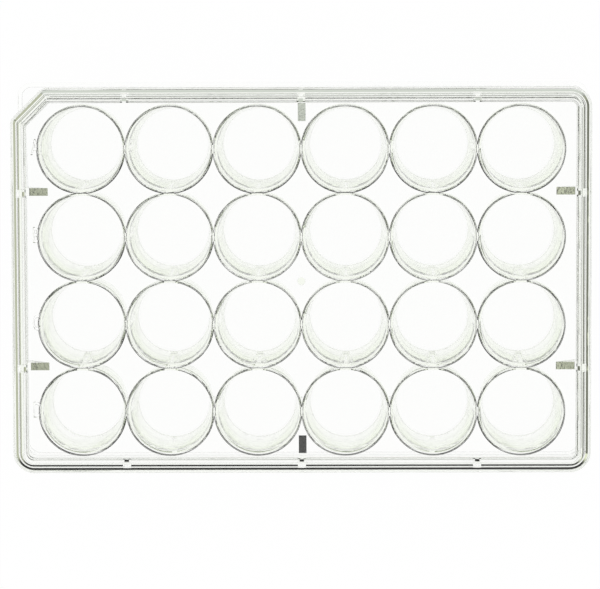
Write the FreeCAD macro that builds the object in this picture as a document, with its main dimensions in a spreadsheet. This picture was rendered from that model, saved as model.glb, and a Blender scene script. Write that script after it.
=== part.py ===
import FreeCAD, Part
import math
import os
import re

import Sketcher

# A clear 24-well cell culture plate with its lid, in millimetres.
# X runs along the long side from column 1 to column 6, Y along the short side from row D to row A, and Z
# up from the table that the plate stands on. The origin is the middle of the footprint, so well A1 is at
# -X, +Y.

# Each size: its alias in the sheet, its value and what it measures.
SIZES = (
    # base, skirt and deck of the plate
    ("footprint_length", 127.76, "outside of the base flange, along X"),
    ("footprint_width", 85.48, "outside of the base flange, along Y"),
    ("footprint_corner", 3.18, "radius of the flange's four corners"),
    ("flange_height", 2.4, "height of the base flange"),
    ("plate_wall", 1.0, "thickness of the skirt and the flange"),
    ("skirt_inset", 1.0, "from the footprint line in to the skirt"),
    ("ledge_height", 12.3, "height at which the skirt steps in to the collar"),
    ("collar_wall", 0.95, "thickness of the collar inside the lid"),
    ("plate_height", 20.2, "base to the tops of the rims"),
    ("rim_rise", 1.0, "height of the rims and the collar over the deck"),
    ("deck_thickness", 1.1, "thickness of the deck between the wells"),
    # the outline that skirt, collar and lid share, given at the footprint line
    ("round_corner", 4.8, "radius of the three round corners"),
    ("notch_leg", 7.2, "leg of the 45 degree cut beside well A1"),
    ("notch_ease", 1.5, "radius at both ends of that cut"),
    # wells
    ("well_columns", 6, "wells along X"),
    ("well_rows", 4, "wells along Y"),
    ("well_pitch", 19.3, "distance between neighbouring wells"),
    ("floor_lift", 1.43, "from the table up to the undersides of the wells"),
    ("floor_thickness", 1.27, "floor of a well"),
    ("mouth_diameter", 18.0, "bore at the rim"),
    ("mouth_depth", 2.5, "height of the tapered mouth"),
    ("mouth_taper", 0.26, "how much the bore narrows down the mouth, each side"),
    ("well_draft", 0.69, "how much the bore narrows from there to the floor, each side"),
    ("floor_ease", 0.5, "radius between a well's wall and its floor"),
    ("well_wall", 0.75, "wall of a well below the deck"),
    ("crest_width", 0.45, "flat top of a rim"),
    ("rim_slope", 0.25, "how much further out a rim meets the deck"),
    ("web_width", 1.6, "plastic that joins neighbouring wells"),
    # ribs low down between the skirt and the wells of columns 2 and 5
    ("rib_width", 0.9, "thickness of a low rib"),
    ("rib_height", 3.6, "height of a low rib over the undersides of the wells"),
    # gussets that brace the deck against the collar, with a 45 degree edge and a flat foot
    ("gusset_width", 1.7, "thickness of a gusset"),
    ("gusset_reach", 5.25, "how far a gusset runs in from the collar"),
    ("gusset_drop", 4.3, "how far a gusset hangs below the deck"),
    # lid
    ("lid_inset", 0.25, "from the footprint line in to the lid's skirt"),
    ("lid_wall", 0.6, "thickness of the lid's skirt"),
    ("lid_clearance", 0.95, "gap between the lid's skirt and the collar, each side"),
    ("lid_gap", 0.6, "air between the rims and the lid's panel"),
    ("lid_edge_gap", 0.5, "air between the plate's ledge and the edge of the lid's skirt"),
    ("lid_shift", 0.15, "how far the loose lid lies towards column 1"),
    ("lid_slide", 0.24, "how far the loose lid lies towards row D"),
    ("panel_thickness", 1.1, "lid panel"),
    ("step_rise", 0.5, "height and width of each of the two 45 degree steps from the skirt to the panel"),
    ("step_flat", 0.25, "flat between those two steps"),
    ("ridge_rise", 0.7, "height of the stacking ridge over the panel"),
    ("ridge_width", 0.95, "flat top of the stacking ridge"),
    ("ridge_slope", 0.75, "width of the ridge's inner slope"),
    ("spacer_width", 1.8, "width of the spacers inside the lid that rest on the collar"),
    ("spacer_reach", 2.4, "how far a spacer runs in from the inside of the lid's skirt"),
    ("ring_outset", 0.55, "from a well's mouth out to the middle of the condensation ring over it"),
    ("ring_width", 0.42, "width of a condensation ring where it meets the panel"),
    ("ring_tip", 0.03, "width of the ring's lower edge"),
    ("ring_height", 0.25, "how far a condensation ring hangs below the panel"),
    ("row_land_length", 2.2, "length of the land that fills the gap between two rings of a row"),
    ("row_land_width", 0.58, "width of that land"),
    ("column_land_length", 2.4, "length of the land over the lower one of two rings of a column"),
    ("column_land_width", 0.5, "width of that land"),
    ("strip_width", 1.0, "width of the strips across the lid's ridge"),
    ("strip_height", 0.35, "height of those strips over the panel"),
    ("gate_diameter", 1.8, "moulding gate mark in the middle of the panel"),
    ("gate_depth", 0.2, "depth of the gate mark"),
)

# Heights over the table and insets from the footprint line that follow from the sizes.
DECK_TOP = "(plate_height - rim_rise)"
DECK_UNDERSIDE = "(plate_height - rim_rise - deck_thickness)"
FLOOR_TOP = "(floor_lift + floor_thickness)"
MOUTH = "mouth_diameter / 2"
THROAT = "(mouth_diameter / 2 - mouth_taper)"
BOTTOM = "(mouth_diameter / 2 - mouth_taper - well_draft)"
CREST = "(mouth_diameter / 2 + crest_width)"
COLLAR_INSET = "(lid_inset + lid_wall + lid_clearance)"
CAVITY_INSET = "(lid_inset + lid_wall + lid_clearance + collar_wall)"
PANEL_UNDERSIDE = "(plate_height + lid_gap)"
PANEL_TOP = "(plate_height + lid_gap + panel_thickness)"
LID_EDGE = "(ledge_height + lid_edge_gap)"
LID_SKIRT = f"({PANEL_UNDERSIDE} - {LID_EDGE})"
RIDGE_INNER = "(lid_inset + lid_wall + lid_clearance + ridge_width)"
RIDGE_FOOT = "(lid_inset + lid_wall + lid_clearance + ridge_width + ridge_slope)"
FIRST_COLUMN = "(-(well_columns - 1) * well_pitch / 2)"
FIRST_ROW = "(-(well_rows - 1) * well_pitch / 2)"

doc = FreeCAD.newDocument("WellPlate")
sheet = doc.addObject("Spreadsheet::Sheet", "Sizes")
for row, (alias, size, note) in enumerate(SIZES, start=1):
    sheet.set(f"A{row}", note)
    sheet.set(f"B{row}", str(size))
    sheet.setAlias(f"B{row}", alias)
doc.recompute()
ALIASES = {alias for alias, _, _ in SIZES}


def bound(formula):
    """The formula with each alias written the way an expression outside the sheet names it."""
    return re.sub(r"[a-z_]+", lambda word: f"Sizes.{word[0]}" if word[0] in ALIASES else word[0], formula)


def value(formula):
    return float(sheet.evalExpression(bound(formula)))


# ---------------------------------------------------------------- sketches
def origin_feature(body, role):
    return next(feature for feature in body.Origin.OriginFeatures if feature.Role == role)


def new_sketch(body, name, plane="XY_Plane", x="0", y="0", z="0"):
    """A sketch on one of the body's own planes, moved in that plane by x and y and lifted off it by z."""
    sketch = body.newObject("Sketcher::SketchObject", name)
    sketch.AttachmentSupport = [(origin_feature(body, plane), "")]
    sketch.MapMode = "FlatFace"
    for axis, formula in (("x", x), ("y", y), ("z", z)):
        sketch.setExpression(f"AttachmentOffset.Base.{axis}", bound(formula))
    return sketch


def dimension(sketch, name, formula, *constraint):
    """A named dimension, bound to the sheet."""
    index = sketch.addConstraint(Sketcher.Constraint(*constraint, value(formula)))
    sketch.renameConstraint(index, name)
    sketch.setExpression(f"Constraints.{name}", bound(formula))


def draw_outline(sketch, sides):
    """A closed outline of straight sides with rounded corners round the sketch's origin, counterclockwise.

    Each side is its name, the direction it faces in degrees, its distance from the origin and the radius
    of the corner at its end."""
    count = len(sides)
    facing = [math.radians(side[1]) for side in sides]
    distances = [value(side[2]) for side in sides]
    radii = [value(side[3]) for side in sides]
    centres = []
    for i in range(count):
        j = (i + 1) % count
        turn = math.sin(facing[j] - facing[i])
        first = distances[i] - radii[i]
        second = distances[j] - radii[i]
        x = (first * math.sin(facing[j]) - second * math.sin(facing[i])) / turn
        y = (second * math.cos(facing[i]) - first * math.cos(facing[j])) / turn
        centres.append(FreeCAD.Vector(x, y, 0))
    for i in range(count):
        outward = FreeCAD.Vector(math.cos(facing[i]), math.sin(facing[i]), 0)
        start = centres[i - 1] + outward * radii[i - 1]
        end = centres[i] + outward * radii[i]
        sketch.addGeometry(Part.LineSegment(start, end))
        circle = Part.Circle(centres[i], FreeCAD.Vector(0, 0, 1), radii[i])
        sweep = (facing[(i + 1) % count] - facing[i]) % (2 * math.pi)
        sketch.addGeometry(Part.ArcOfCircle(circle, facing[i], facing[i] + sweep))
    for i, (name, degrees, distance, radius) in enumerate(sides):
        line, arc, following = 2 * i, 2 * i + 1, (2 * i + 2) % (2 * count)
        sketch.addConstraint(Sketcher.Constraint("Tangent", line, 2, arc, 1))
        sketch.addConstraint(Sketcher.Constraint("Tangent", arc, 2, following, 1))
        if degrees % 180 == 0:
            sketch.addConstraint(Sketcher.Constraint("Vertical", line))
        elif degrees % 90 == 0:
            sketch.addConstraint(Sketcher.Constraint("Horizontal", line))
        else:
            sketch.addConstraint(Sketcher.Constraint("Angle", line, math.radians(degrees + 90)))
        dimension(sketch, f"{name}_side", distance, "Distance", -1, 1, line)
        dimension(sketch, f"{name}_corner", radius, "Radius", arc)


def box_outline(sketch, half_length, half_width, corner):
    """A rectangle round the sketch's origin, with four round corners."""
    sides = [
        ("front", -90, half_width, corner),
        ("right", 0, half_length, corner),
        ("back", 90, half_width, corner),
        ("left", 180, half_length, corner),
    ]
    draw_outline(sketch, sides)


def base_outline(body, name, inset, z):
    """The outline of the base flange, with four round corners."""
    sketch = new_sketch(body, name, z=z)
    half_length = f"footprint_length / 2 - {inset}"
    half_width = f"footprint_width / 2 - {inset}"
    box_outline(sketch, half_length, half_width, f"footprint_corner - {inset}")
    return sketch


def notched_outline(body, name, inset, z):
    """The outline of all that stands on the base: three round corners and a 45 degree cut by well A1."""
    sketch = new_sketch(body, name, z=z)
    half_length = f"footprint_length / 2 - {inset}"
    half_width = f"footprint_width / 2 - {inset}"
    cut = f"(footprint_length / 2 + footprint_width / 2 - notch_leg) / sqrt(2) - {inset}"
    corner = f"round_corner - {inset}"
    sides = [
        ("front", -90, half_width, corner),
        ("right", 0, half_length, corner),
        ("back", 90, half_width, "notch_ease"),
        ("notch", 135, cut, "notch_ease"),
        ("left", 180, half_length, corner),
    ]
    draw_outline(sketch, sides)
    return sketch


def draw_profile(sketch, corners):
    """A closed profile beside the sketch's upright axis, for turning round it.

    Each corner is its name, its distance from the axis, its height and its radius, "0" for a sharp one."""
    points = [FreeCAD.Vector(value(corner[1]), value(corner[2]), 0) for corner in corners]
    count = len(corners)
    starts = list(points)
    ends = list(points)
    arcs = {}
    for i, (_, _, _, radius) in enumerate(corners):
        if radius != "0":
            back = (points[i - 1] - points[i]).normalize()
            ahead = (points[(i + 1) % count] - points[i]).normalize()
            half_angle = back.getAngle(ahead) / 2
            reach = value(radius) / math.tan(half_angle)
            middle_way = (back + ahead).normalize()
            centre = points[i] + middle_way * (value(radius) / math.sin(half_angle))
            middle = centre - middle_way * value(radius)
            ends[i] = points[i] + back * reach
            starts[i] = points[i] + ahead * reach
            arcs[i] = Part.Arc(ends[i], middle, starts[i])
    for i in range(count):
        sketch.addGeometry(Part.LineSegment(starts[i], ends[(i + 1) % count]))
    for i, (name, across, height, radius) in enumerate(corners):
        line, before = i, (i - 1) % count
        if i in arcs:
            arc = sketch.addGeometry(arcs[i])
            point = sketch.addGeometry(Part.Point(points[i]), True)
            anchor = (point, 1)
            sketch.addConstraint(Sketcher.Constraint("PointOnObject", point, 1, line))
            sketch.addConstraint(Sketcher.Constraint("PointOnObject", point, 1, before))
            join_tangent(sketch, arc, before, 2)
            join_tangent(sketch, arc, line, 1)
            dimension(sketch, f"{name}_radius", radius, "Radius", arc)
        else:
            anchor = (line, 1)
            sketch.addConstraint(Sketcher.Constraint("Coincident", before, 2, line, 1))
        if across == "0":
            sketch.addConstraint(Sketcher.Constraint("PointOnObject", *anchor, -2))
        else:
            dimension(sketch, f"{name}_across", across, "DistanceX", -1, 1, *anchor)
        dimension(sketch, f"{name}_height", height, "DistanceY", -1, 1, *anchor)


def join_tangent(sketch, arc, line, line_end):
    """Joins the nearer end of the arc to that end of the line, smoothly."""
    corner = sketch.getPoint(line, line_end)
    gap = [sketch.getPoint(arc, end).distanceToPoint(corner) for end in (1, 2)]
    arc_end = 1 if gap[0] < gap[1] else 2
    sketch.addConstraint(Sketcher.Constraint("Tangent", line, line_end, arc, arc_end))


# ---------------------------------------------------------------- features
def raise_from(body, name, sketch, height, downwards=False):
    """A pad of that height on the sketch."""
    pad = body.newObject("PartDesign::Pad", name)
    pad.Profile = sketch
    pad.setExpression("Length", bound(height))
    pad.Reversed = downwards
    sketch.Visibility = False
    return pad


def hollow_out(body, name, sketch, depth, upwards=False):
    """A pocket of that depth under the sketch, or over it."""
    pocket = body.newObject("PartDesign::Pocket", name)
    pocket.Profile = sketch
    pocket.setExpression("Length", bound(depth))
    pocket.Reversed = upwards
    sketch.Visibility = False
    return pocket


def turn(body, name, kind, corners):
    """The profile turned round the axis of the well in the first column and the first row."""
    sketch = new_sketch(body, f"{name}_profile", "XZ_Plane", x=FIRST_COLUMN, z=f"-{FIRST_ROW}")
    draw_profile(sketch, corners)
    feature = body.newObject(kind, name)
    feature.Profile = sketch
    feature.ReferenceAxis = (sketch, ["V_Axis"])
    return feature


def repeat(body, name, originals, columns, rows, spread_x, spread_y):
    """The features again at every column and row."""
    pattern = body.newObject("PartDesign::MultiTransform", name)
    pattern.Originals = originals
    steps = []
    for role, count, spread in (("X_Axis", columns, spread_x), ("Y_Axis", rows, spread_y)):
        step = body.newObject("PartDesign::LinearPattern", f"{name}_{role[0].lower()}")
        step.Direction = (origin_feature(body, role), [""])
        step.setExpression("Occurrences", bound(count))
        step.setExpression("Length", bound(spread))
        steps.append(step)
    pattern.Transformations = steps
    body.Tip = pattern
    return pattern


COLUMN_SPREAD = "(well_columns - 1) * well_pitch"
ROW_SPREAD = "(well_rows - 1) * well_pitch"
BETWEEN_END_COLUMNS = "(well_columns / 2 - 1) * well_pitch"
BETWEEN_END_ROWS = "(well_rows / 2 - 1) * well_pitch"

# Where the gussets and spacers stand: a name, x and y on the footprint line, and the outward direction.
EDGE_SPOTS = (
    ("north", "0", "footprint_width / 2", 0, 1),
    ("south", "0", "-footprint_width / 2", 0, -1),
    ("east_b", "footprint_length / 2", BETWEEN_END_ROWS, 1, 0),
    ("east_c", "footprint_length / 2", f"-{BETWEEN_END_ROWS}", 1, 0),
    ("west_b", "-footprint_length / 2", BETWEEN_END_ROWS, -1, 0),
    ("west_c", "-footprint_length / 2", f"-{BETWEEN_END_ROWS}", -1, 0),
)


def inward_strip(body, name, spot, outer, inner, width, corner, z):
    """A strip square to the edge at one of the spots, between two insets from the footprint line."""
    _, x, y, along_x, along_y = spot
    middle = f"(({outer}) + ({inner})) / 2"
    half_reach = f"(({inner}) - ({outer})) / 2"
    x = f"{x} - {along_x} * {middle}" if along_x else x
    y = f"{y} - {along_y} * {middle}" if along_y else y
    sketch = new_sketch(body, name, x=x, y=y, z=z)
    half_sizes = (half_reach, f"{width} / 2") if along_x else (f"{width} / 2", half_reach)
    box_outline(sketch, *half_sizes, corner)
    return sketch


def new_body(label):
    body = doc.addObject("PartDesign::Body", label)
    body.Label = label
    return body


# ---------------------------------------------------------------- plate
def add_gusset(body, spot):
    """A gusset between the deck and the collar, rooted in both: a triangle with its foot cut flat."""
    place, x, y, along_x, along_y = spot
    edge, across, outward = (x, y, along_x) if along_x else (y, x, along_y)
    plane, lift = ("XZ_Plane", f"-({across})") if along_x else ("YZ_Plane", across)
    sketch = new_sketch(body, f"gusset_{place}_profile", plane, z=lift)
    root = "collar_wall / 2"
    wall = f"{edge} - {outward} * ({CAVITY_INSET} - {root})"
    tip = f"{edge} - {outward} * ({CAVITY_INSET} + gusset_reach + {root})"
    toe = f"{edge} - {outward} * ({CAVITY_INSET} + gusset_reach - gusset_drop)"
    deck = f"({DECK_UNDERSIDE} + {root})"
    foot = f"({DECK_UNDERSIDE} - gusset_drop)"
    draw_profile(sketch, [
        ("tip", tip, deck, "0"),
        ("root", wall, deck, "0"),
        ("foot", wall, foot, "0"),
        ("toe", toe, foot, "0"),
    ])
    gusset = raise_from(body, f"gusset_{place}", sketch, "gusset_width")
    gusset.Midplane = True


def make_plate():
    body = new_body("plate")
    # Base flange, skirt and collar, each a block inside the one before, then hollowed from below.
    raise_from(body, "flange", base_outline(body, "flange_outline", "0", "0"), "flange_height")
    raise_from(body, "skirt", notched_outline(body, "skirt_outline", "skirt_inset", "0"), "ledge_height")
    raise_from(body, "collar", notched_outline(body, "collar_outline", COLLAR_INSET, "0"), "plate_height")
    recess = notched_outline(body, "recess_outline", CAVITY_INSET, "plate_height")
    hollow_out(body, "recess", recess, "rim_rise")
    flange_room = base_outline(body, "flange_room_outline", "plate_wall", "0")
    hollow_out(body, "flange_room", flange_room, "flange_height - plate_wall", upwards=True)
    skirt_room = notched_outline(body, "skirt_room_outline", "(skirt_inset + plate_wall)", "0")
    hollow_out(body, "skirt_room", skirt_room, "ledge_height - plate_wall", upwards=True)
    collar_room = notched_outline(body, "collar_room_outline", CAVITY_INSET, "0")
    hollow_out(body, "collar_room", collar_room, DECK_UNDERSIDE, upwards=True)

    for spot in EDGE_SPOTS:
        add_gusset(body, spot)

    # Webs join the wells of a row and of a column. The bores clear what lies inside the wells.
    web_height = "plate_height - floor_lift"
    for name, y, half_length, half_width in (
        ("row_web", FIRST_ROW, f"{COLUMN_SPREAD} / 2", "web_width / 2"),
        ("column_web", "0", "web_width / 2", f"{ROW_SPREAD} / 2"),
    ):
        x = FIRST_COLUMN if name == "column_web" else "0"
        sketch = new_sketch(body, f"{name}_outline", x=x, y=y, z="floor_lift")
        box_outline(sketch, half_length, half_width, "web_width / 4")
        web = raise_from(body, name, sketch, web_height)
        pattern = body.newObject("PartDesign::LinearPattern", f"{name}s")
        pattern.Originals = [web]
        role = "X_Axis" if name == "column_web" else "Y_Axis"
        pattern.Direction = (origin_feature(body, role), [""])
        pattern.setExpression("Occurrences", bound("well_columns" if role == "X_Axis" else "well_rows"))
        pattern.setExpression("Length", bound(COLUMN_SPREAD if role == "X_Axis" else ROW_SPREAD))
        body.Tip = pattern

    # Low ribs from the skirt to the outer wells of columns 2 and 5, on both long sides.
    for end, side in ((-1, -1), (-1, 1), (1, -1), (1, 1)):
        name = f"low_rib_{'west' if end < 0 else 'east'}_{'south' if side < 0 else 'north'}"
        outer = "(footprint_width / 2 - skirt_inset - plate_wall / 2)"
        inner = f"({ROW_SPREAD} / 2)"
        x = f"{end} * (well_columns / 2 - 1.5) * well_pitch"
        y = f"{side} * ({outer} + {inner}) / 2"
        sketch = new_sketch(body, f"{name}_outline", x=x, y=y, z="floor_lift")
        box_outline(sketch, "rib_width / 2", f"({outer} - {inner}) / 2", "rib_width / 4")
        raise_from(body, name, sketch, "rib_height")

    # One well: its outside with the rim, then its bore, then both again at every place.
    outside = turn(body, "well_outside", "PartDesign::Revolution", [
        ("axis_low", "0", "floor_lift", "0"),
        ("foot", f"{BOTTOM} + well_wall", "floor_lift", "floor_ease"),
        ("neck", f"{THROAT} + well_wall", DECK_UNDERSIDE, "0"),
        ("rim_foot", f"{CREST} + rim_slope", DECK_TOP, "0"),
        ("crest", CREST, "plate_height", "0"),
        ("axis_high", "0", "plate_height", "0"),
    ])
    bore = turn(body, "well_bore", "PartDesign::Groove", [
        ("axis_low", "0", FLOOR_TOP, "0"),
        ("floor", BOTTOM, FLOOR_TOP, "floor_ease"),
        ("throat", THROAT, "(plate_height - mouth_depth)", "0"),
        ("mouth", MOUTH, "plate_height", "0"),
        ("above", MOUTH, "(plate_height + lid_gap)", "0"),
        ("axis_high", "0", "(plate_height + lid_gap)", "0"),
    ])
    repeat(body, "wells", [outside, bore], "well_columns", "well_rows", COLUMN_SPREAD, ROW_SPREAD)
    return body


# ---------------------------------------------------------------- lid
def make_lid():
    body = new_body("lid")
    skirt = notched_outline(body, "skirt_outline", "lid_inset", LID_EDGE)
    raise_from(body, "skirt", skirt, f"{LID_SKIRT} + panel_thickness")
    room = notched_outline(body, "room_outline", "(lid_inset + lid_wall)", LID_EDGE)
    hollow_out(body, "room", room, f"{LID_SKIRT} - 2 * step_rise", upwards=True)

    # From the skirt to the panel the underside climbs in two 45 degree steps, which stiffen the margin.
    low_step = ("(lid_inset + lid_wall)", f"({PANEL_UNDERSIDE} - 2 * step_rise)")
    high_step = ("(lid_inset + lid_wall + step_rise + step_flat)", f"({PANEL_UNDERSIDE} - step_rise)")
    for name, (inset, foot) in (("low_step", low_step), ("high_step", high_step)):
        step = body.newObject("PartDesign::SubtractiveLoft", name)
        step.Profile = notched_outline(body, f"{name}_foot_outline", inset, foot)
        top_inset = f"({inset} + step_rise)"
        top = notched_outline(body, f"{name}_top_outline", top_inset, f"({foot} + step_rise)")
        step.Sections = [top]
        step.Ruled = True

    # The stacking ridge: a low block on the panel, dished out again with a sloped inner side.
    ridge = notched_outline(body, "ridge_outline", COLLAR_INSET, PANEL_TOP)
    raise_from(body, "ridge", ridge, "ridge_rise")
    dish = body.newObject("PartDesign::SubtractiveLoft", "dish")
    dish.Profile = notched_outline(body, "dish_top_outline", RIDGE_INNER, f"({PANEL_TOP} + ridge_rise)")
    dish.Sections = [notched_outline(body, "dish_floor_outline", RIDGE_FOOT, PANEL_TOP)]
    dish.Ruled = True

    # Narrow strips across the ridge and its shoulder, at the gussets and between the end columns. Each is a
    # slot through the ridge, part filled again.
    end_spots = tuple(
        (f"{side}_{end}", f"{sign} * {BETWEEN_END_COLUMNS}", f"{reach} * footprint_width / 2", 0, reach)
        for side, reach in (("north", 1), ("south", -1))
        for end, sign in (("west", -1), ("east", 1))
    )
    strip_outer = "(lid_inset + lid_wall / 2)"
    for spot in EDGE_SPOTS + end_spots:
        shape = (spot, strip_outer, RIDGE_FOOT, "strip_width", "strip_width / 4")
        slot_outline = inward_strip(body, f"slot_{spot[0]}_outline", *shape, f"({PANEL_TOP} + ridge_rise)")
        hollow_out(body, f"slot_{spot[0]}", slot_outline, "ridge_rise")
        strip_outline = inward_strip(body, f"strip_{spot[0]}_outline", *shape, PANEL_TOP)
        raise_from(body, f"strip_{spot[0]}", strip_outline, "strip_height")

    # Spacers at the same places, under the panel: they rest on the collar and leave a gap for air.
    for spot in EDGE_SPOTS + end_spots:
        spacer_outline = inward_strip(
            body, f"spacer_{spot[0]}_outline", spot, strip_outer, "(lid_inset + lid_wall + spacer_reach)",
            "spacer_width", "spacer_width / 4", PANEL_UNDERSIDE
        )
        raise_from(body, f"spacer_{spot[0]}", spacer_outline, "lid_gap", downwards=True)

    # One condensation ring under the panel, then the same over every well.
    across = "(mouth_diameter / 2 + ring_outset)"
    tip_height = f"({PANEL_UNDERSIDE} - ring_height)"
    ring = turn(body, "ring", "PartDesign::Revolution", [
        ("inner_tip", f"{across} - ring_tip / 2", tip_height, "0"),
        ("outer_tip", f"{across} + ring_tip / 2", tip_height, "0"),
        ("outer_foot", f"{across} + ring_width / 2", PANEL_UNDERSIDE, "0"),
        ("outer_root", f"{across} + ring_width / 2", f"({PANEL_UNDERSIDE} + panel_thickness / 2)", "0"),
        ("inner_root", f"{across} - ring_width / 2", f"({PANEL_UNDERSIDE} + panel_thickness / 2)", "0"),
        ("inner_foot", f"{across} - ring_width / 2", PANEL_UNDERSIDE, "0"),
    ])
    repeat(body, "rings", [ring], "well_columns", "well_rows", COLUMN_SPREAD, ROW_SPREAD)

    # Lands where neighbouring rings meet: they fill the gap in a row, and level the lower ring in a column.
    row_land = new_sketch(
        body, "row_land_outline", x=f"{FIRST_COLUMN} + well_pitch / 2", y=FIRST_ROW, z=tip_height
    )
    box_outline(row_land, "row_land_width / 2", "row_land_length / 2", "row_land_width / 4")
    row_land_pad = raise_from(body, "row_land", row_land, "ring_height + panel_thickness / 2")
    repeat(body, "row_lands", [row_land_pad], "well_columns - 1", "well_rows",
           "(well_columns - 2) * well_pitch", ROW_SPREAD)
    column_land_y = f"{FIRST_ROW} + well_pitch / 2 - column_land_width / 2"
    column_land = new_sketch(body, "column_land_outline", x=FIRST_COLUMN, y=column_land_y, z=tip_height)
    box_outline(column_land, "column_land_length / 2", "column_land_width / 2", "column_land_width / 4")
    column_land_pad = raise_from(body, "column_land", column_land, "ring_height + panel_thickness / 2")
    repeat(body, "column_lands", [column_land_pad], "well_columns", "well_rows - 1",
           COLUMN_SPREAD, "(well_rows - 2) * well_pitch")

    gate = new_sketch(body, "gate_outline", z=PANEL_TOP)
    gate_circle = Part.Circle(FreeCAD.Vector(0, 0, 0), FreeCAD.Vector(0, 0, 1), value("gate_diameter / 2"))
    gate.addGeometry(gate_circle)
    gate.addConstraint(Sketcher.Constraint("Coincident", 0, 3, -1, 1))
    dimension(gate, "gate_radius", "gate_diameter / 2", "Radius", 0)
    hollow_out(body, "gate", gate, "gate_depth")
    body.setExpression("Placement.Base.x", bound("-lid_shift"))
    body.setExpression("Placement.Base.y", bound("-lid_slide"))
    return body


def check(body):
    """Stops if any feature failed, or if the body isn't one valid solid."""
    for part in doc.Objects:
        if {"Invalid", "Error"} & set(part.State):
            raise RuntimeError(f"{part.Name}: {part.State}")
    shape = body.Shape
    if shape.isNull() or not shape.isValid() or len(shape.Solids) != 1:
        raise RuntimeError(f"{body.Label}: {len(shape.Solids)} solids, valid {shape.isValid()}")


bodies = [make_plate(), make_lid()]
doc.recompute()
os.makedirs("parts", exist_ok=True)
for body in bodies:
    check(body)
    body.Shape.exportStep(f"parts/{body.Label}.step")
    box = body.Shape.BoundBox
    print(f"{body.Label}: {box.XLength:.2f} x {box.YLength:.2f} x {box.ZLength:.2f} mm, "
          f"z {box.ZMin:.2f} to {box.ZMax:.2f}, {body.Shape.Volume / 1000:.2f} cm3")
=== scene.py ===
# %% [markdown]
# # A clear culture plate with its lid
# This file finishes a cell culture plate: a clear polystyrene tray of round wells, and a loose lid of the
# same plastic. Both are injection mouldings. The CAD model gives their sizes and places, and this script
# builds the surfaces that show, with finer circles and the small radii that a mould leaves on every edge.
# Clear plastic is all edges: a flat wall hardly shows, and what the eye reads is how each corner bends the
# light. So the true section of every wall matters more here than any colour.

# %% Load the frame
import math

import bmesh
import bpy
from mathutils import Matrix, Vector


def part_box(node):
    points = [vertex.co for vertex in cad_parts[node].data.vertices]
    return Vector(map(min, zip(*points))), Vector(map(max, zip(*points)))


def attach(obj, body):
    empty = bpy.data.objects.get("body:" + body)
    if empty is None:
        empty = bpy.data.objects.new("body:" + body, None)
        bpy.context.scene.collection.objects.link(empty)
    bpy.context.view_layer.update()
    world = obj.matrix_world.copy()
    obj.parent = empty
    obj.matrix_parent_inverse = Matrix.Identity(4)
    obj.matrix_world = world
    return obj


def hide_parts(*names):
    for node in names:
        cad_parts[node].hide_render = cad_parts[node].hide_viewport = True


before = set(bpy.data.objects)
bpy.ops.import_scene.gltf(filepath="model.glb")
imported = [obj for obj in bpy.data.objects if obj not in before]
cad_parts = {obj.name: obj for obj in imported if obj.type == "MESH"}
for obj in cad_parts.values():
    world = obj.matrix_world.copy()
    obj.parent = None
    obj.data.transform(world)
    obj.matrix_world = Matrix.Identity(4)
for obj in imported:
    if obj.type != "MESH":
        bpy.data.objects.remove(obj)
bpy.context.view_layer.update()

# %% [markdown]
# The frame gives the boxes of the two mouldings in metres. A mould drawing is in millimetres, and so is all
# that follows, until a piece is finished. The plate stands in the middle of the frame. The lid lies a little
# off it, as a loose lid does, so it is drawn round the middle and shifted when it is whole.

# %% Boxes of the two mouldings
MM = 0.001


def span(node):
    """The lowest and the highest corner of a CAD node, in millimetres."""
    low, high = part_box(node)
    return Vector(low) / MM, Vector(high) / MM


plate_low, plate_high = span("plate")
lid_low, lid_high = span("lid")
HALF_LENGTH = (plate_high.x - plate_low.x) / 2
HALF_WIDTH = (plate_high.y - plate_low.y) / 2
RIM_TOP = plate_high.z
LID_EDGE, RIDGE_TOP = lid_low.z, lid_high.z
LID_MIDDLE = Vector(((lid_high.x + lid_low.x) / 2, (lid_high.y + lid_low.y) / 2, 0))
LID_INSET = HALF_WIDTH - (lid_high.y - lid_low.y) / 2
print(f"footprint {2 * HALF_LENGTH:.2f} x {2 * HALF_WIDTH:.2f} mm,",
      f"rims at {RIM_TOP:.2f}, lid up to {RIDGE_TOP:.2f}")

# %% [markdown]
# Sizes that the boxes can't give are the CAD model's own. The walls follow the plate's outline, each at its
# own distance inside the footprint, which is called its inset here. The wells stand on the grid that plates
# of 24 wells share, and the middle of the grid is the middle of the plate.

# %% Sizes of the plate
COLUMNS, ROWS, PITCH = 6, 4, 19.3
FLANGE_CORNER, FLANGE_HEIGHT, FLANGE_WALL = 3.18, 2.4, 1.0
ROUND_CORNER, NOTCH_LEG, NOTCH_EASE, LEAST_EASE = 4.8, 7.2, 2.6, 0.3
SKIRT_INSET, SKIRT_WALL, LEDGE_HEIGHT = 1.0, 1.0, 12.3
COLLAR_INSET, COLLAR_WALL, COLLAR_DRAFT = 1.8, 0.95, 0.2
RIM_RISE, DECK_THICKNESS = 1.0, 1.1
DECK_TOP = RIM_TOP - RIM_RISE
DECK_UNDERSIDE = DECK_TOP - DECK_THICKNESS
CAVITY_INSET = COLLAR_INSET + COLLAR_WALL
print(f"ledge at {LEDGE_HEIGHT:.2f} mm, deck from {DECK_UNDERSIDE:.2f} to {DECK_TOP:.2f}")

# %% [markdown]
# An outline is a flat polygon with rounded corners. It could be drawn point by point, as lines and arcs.
# Here it starts with sharp corners, and a bevel of each corner's vertex rounds it, because then a corner is
# no more than a place and a radius. The base flange has four round corners. All that stands on it has three,
# and a cut one beside well A1 that shows which way round the plate lies.

# %% Outlines with rounded corners
CORNER_STEPS, EASE_STEPS = 10, 4


def ease(bm, parts, radius, steps=EASE_STEPS, affect="EDGES"):
    """Rounds edges, or the corners of a flat face, to a radius."""
    bmesh.ops.bevel(bm, geom=parts, offset=radius, offset_type="OFFSET", segments=steps,
                    profile=0.5, affect=affect, material=-1)


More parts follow.
